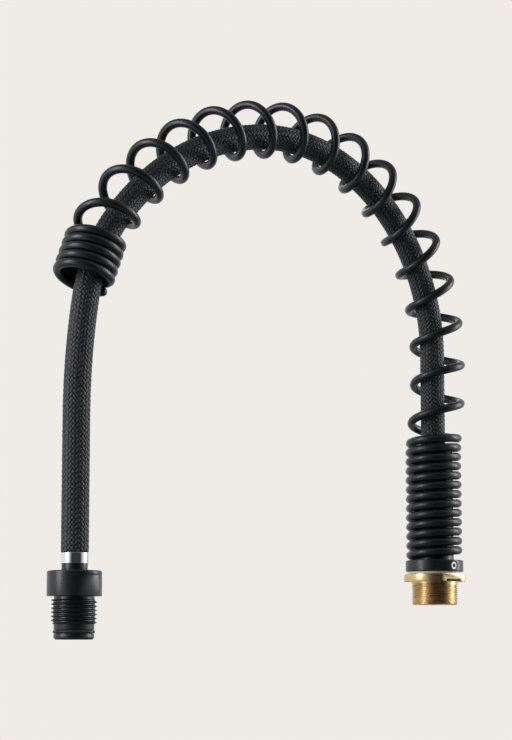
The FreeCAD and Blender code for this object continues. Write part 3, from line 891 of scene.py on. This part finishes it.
def stage():
    """Pale floor far below the line, fading into the background."""
    size, height = FLOOR_HALF, CAD_BOX[0].z - FLOOR_BELOW
    corners = [(-size, -size, height), (size, -size, height), (size, size, height), (-size, size, height)]
    floor = mesh_piece("floor", corners, [(0, 1, 2, 3)], False)
    m = Nodes("floor_paint")
    m.set(Base_Color=(0.12, 0.116, 0.112, 1.0), Roughness=0.9, Specular_IOR_Level=0.1)
    m.set(Emission_Color=WALL_COLOUR)
    m.link(m.math("MULTIPLY", m.add("ShaderNodeLightPath").outputs["Is Camera Ray"], FLOOR_GLOW),
           m.shader.inputs["Emission Strength"])
    clear = m.add("ShaderNodeBsdfTransparent")
    mixer = m.add("ShaderNodeMixShader")
    distance = m.add("ShaderNodeVectorMath", operation="LENGTH")
    m.link(m.place(), distance.inputs[0])
    m.link(m.map(distance.outputs["Value"], *FLOOR_FADE, 0.0, 1.0), mixer.inputs["Fac"])
    m.link(m.shader.outputs["BSDF"], mixer.inputs[1])
    m.link(clear.outputs["BSDF"], mixer.inputs[2])
    m.link(mixer.outputs["Shader"], m.tree.nodes["Material Output"].inputs["Surface"])
    floor.data.materials.append(m.material)


def world():
    """Pale wall for the camera. Reflections see a bright room, dimmer overhead and dark round the camera."""
    scene = bpy.context.scene
    scene.world = scene.world or bpy.data.worlds.new("World")
    scene.world.use_nodes = True
    tree = scene.world.node_tree

    def add(kind):
        return tree.nodes.new(kind)

    def ramp(value, low, high, out_low, out_high):
        node = add("ShaderNodeMapRange")
        node.interpolation_type = "SMOOTHSTEP"
        tree.links.new(value, node.inputs["Value"])
        for socket, number in zip(MAP_RANGE_INPUTS, (low, high, out_low, out_high)):
            node.inputs[socket].default_value = number
        return node.outputs["Result"]

    direction = add("ShaderNodeTexCoord").outputs["Generated"]
    facing = add("ShaderNodeVectorMath")
    facing.operation = "DOT_PRODUCT"
    turn = math.radians(DARK_SIDE)
    facing.inputs[1].default_value = (math.cos(turn), math.sin(turn), 0.0)
    tree.links.new(direction, facing.inputs[0])
    height = add("ShaderNodeSeparateXYZ")
    tree.links.new(direction, height.inputs[0])
    level = add("ShaderNodeMath")
    level.operation = "MULTIPLY"
    tree.links.new(ramp(facing.outputs["Value"], *DARK_EDGE, ROOM_LEVEL, DARK_LEVEL), level.inputs[0])
    tree.links.new(ramp(height.outputs["Z"], *OVERHEAD_EDGE, 1.0, OVERHEAD_LEVEL), level.inputs[1])
    room, wall = add("ShaderNodeBackground"), tree.nodes["Background"]
    room.inputs["Color"].default_value = ROOM_COLOUR
    wall.inputs["Color"].default_value = WALL_COLOUR
    tree.links.new(level.outputs[0], room.inputs["Strength"])
    mixer = add("ShaderNodeMixShader")
    tree.links.new(add("ShaderNodeLightPath").outputs["Is Camera Ray"], mixer.inputs["Fac"])
    tree.links.new(room.outputs["Background"], mixer.inputs[1])
    tree.links.new(wall.outputs["Background"], mixer.inputs[2])
    tree.links.new(mixer.outputs["Shader"], tree.nodes["World Output"].inputs["Surface"])
    scene.view_settings.view_transform = "Standard"


def softbox(name, azimuth, distance, height, size, power):
    """Soft rectangular light that faces the arch's middle, placed by its azimuth in degrees round it."""
    middle = (CAD_BOX[0] + CAD_BOX[1]) / 2
    turn = math.radians(azimuth)
    place = middle + Vector((distance * math.cos(turn), distance * math.sin(turn), height))
    data = bpy.data.lights.new(name, "AREA")
    data.shape = "RECTANGLE"
    data.size, data.size_y = size
    data.energy = power
    data.color = ROOM_COLOUR[:3]
    lamp = bpy.data.objects.new(name, data)
    bpy.context.scene.collection.objects.link(lamp)
    lamp.location = place
    lamp.rotation_mode = "QUATERNION"
    lamp.rotation_quaternion = (middle - place).to_track_quat("-Z", "Y")
    lamp.visible_camera = False


def lights():
    """Two tall softboxes, left of the camera and to the right of the line, and a weak one behind."""
    softbox("key", azimuth=170, distance=1.2, height=0.35, size=(0.45, 1.1), power=9.0)
    softbox("rim", azimuth=334, distance=1.2, height=0.30, size=(0.45, 1.1), power=9.0)
    softbox("back", azimuth=60, distance=1.4, height=0.45, size=(0.6, 0.9), power=2.5)


def camera():
    """Camera below the arch, looking slightly up at it from the side."""
    data = bpy.data.cameras.new("camera")
    data.lens = CAMERA_LENS
    data.sensor_width = CAMERA_SENSOR
    eye = bpy.data.objects.new("camera", data)
    bpy.context.scene.collection.objects.link(eye)
    eye.location = CAMERA_AT
    eye.rotation_mode = "QUATERNION"
    eye.rotation_quaternion = CAMERA_LOOK.to_track_quat("-Z", "Y")
    bpy.context.scene.camera = eye


materials = make_materials()
dress_cad_nodes(materials)
hose_pieces(materials)
spring_pieces(materials)
fittings(materials)
stage()
world()
lights()
camera()
